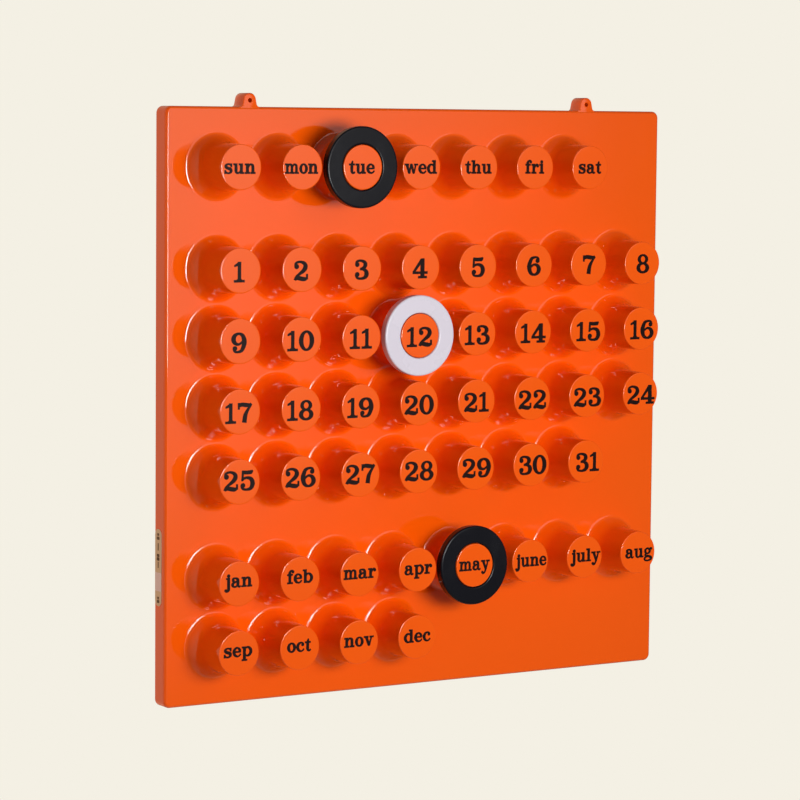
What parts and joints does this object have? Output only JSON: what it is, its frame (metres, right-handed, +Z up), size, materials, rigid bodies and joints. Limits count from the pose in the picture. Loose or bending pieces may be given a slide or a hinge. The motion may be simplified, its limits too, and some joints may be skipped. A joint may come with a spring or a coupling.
{
  "type": "wall calendar",
  "caption": "Perpetual wall calendar: a square moulded plastic panel with flared round pegs for weekdays, dates and months, hanging lugs and lift-off marker rings.",
  "frame": {"origin": "midway between the two hanging holes, on the plane of the wall", "axes": "+X to the right of someone reading the calendar, +Y into the wall, +Z up"},
  "size_m": [0.4203, 0.0505, 0.4296],
  "materials": {
    "orange_plastic": "glossy moulded orange plastic",
    "black_plastic": "semi-gloss black plastic",
    "white_plastic": "semi-gloss off-white plastic",
    "label_film": "thin matt tan film"
  },
  "bodies": {
    "panel": {"panel": "orange_plastic", "side_label": "label_film"},
    "day_ring": {"day_ring": "black_plastic"},
    "date_ring": {"date_ring": "white_plastic"},
    "month_ring": {"month_ring": "black_plastic"}
  },
  "joints": [
    {"name": "day_ring_pull", "type": "slide", "parent": "panel", "child": "day_ring", "axis": [0, -1, 0], "range_m": [0, 0.03]},
    {"name": "date_ring_pull", "type": "slide", "parent": "panel", "child": "date_ring", "axis": [0, -1, 0], "range_m": [0, 0.03]},
    {"name": "month_ring_pull", "type": "slide", "parent": "panel", "child": "month_ring", "axis": [0, -1, 0], "range_m": [0, 0.03]}
  ]
}
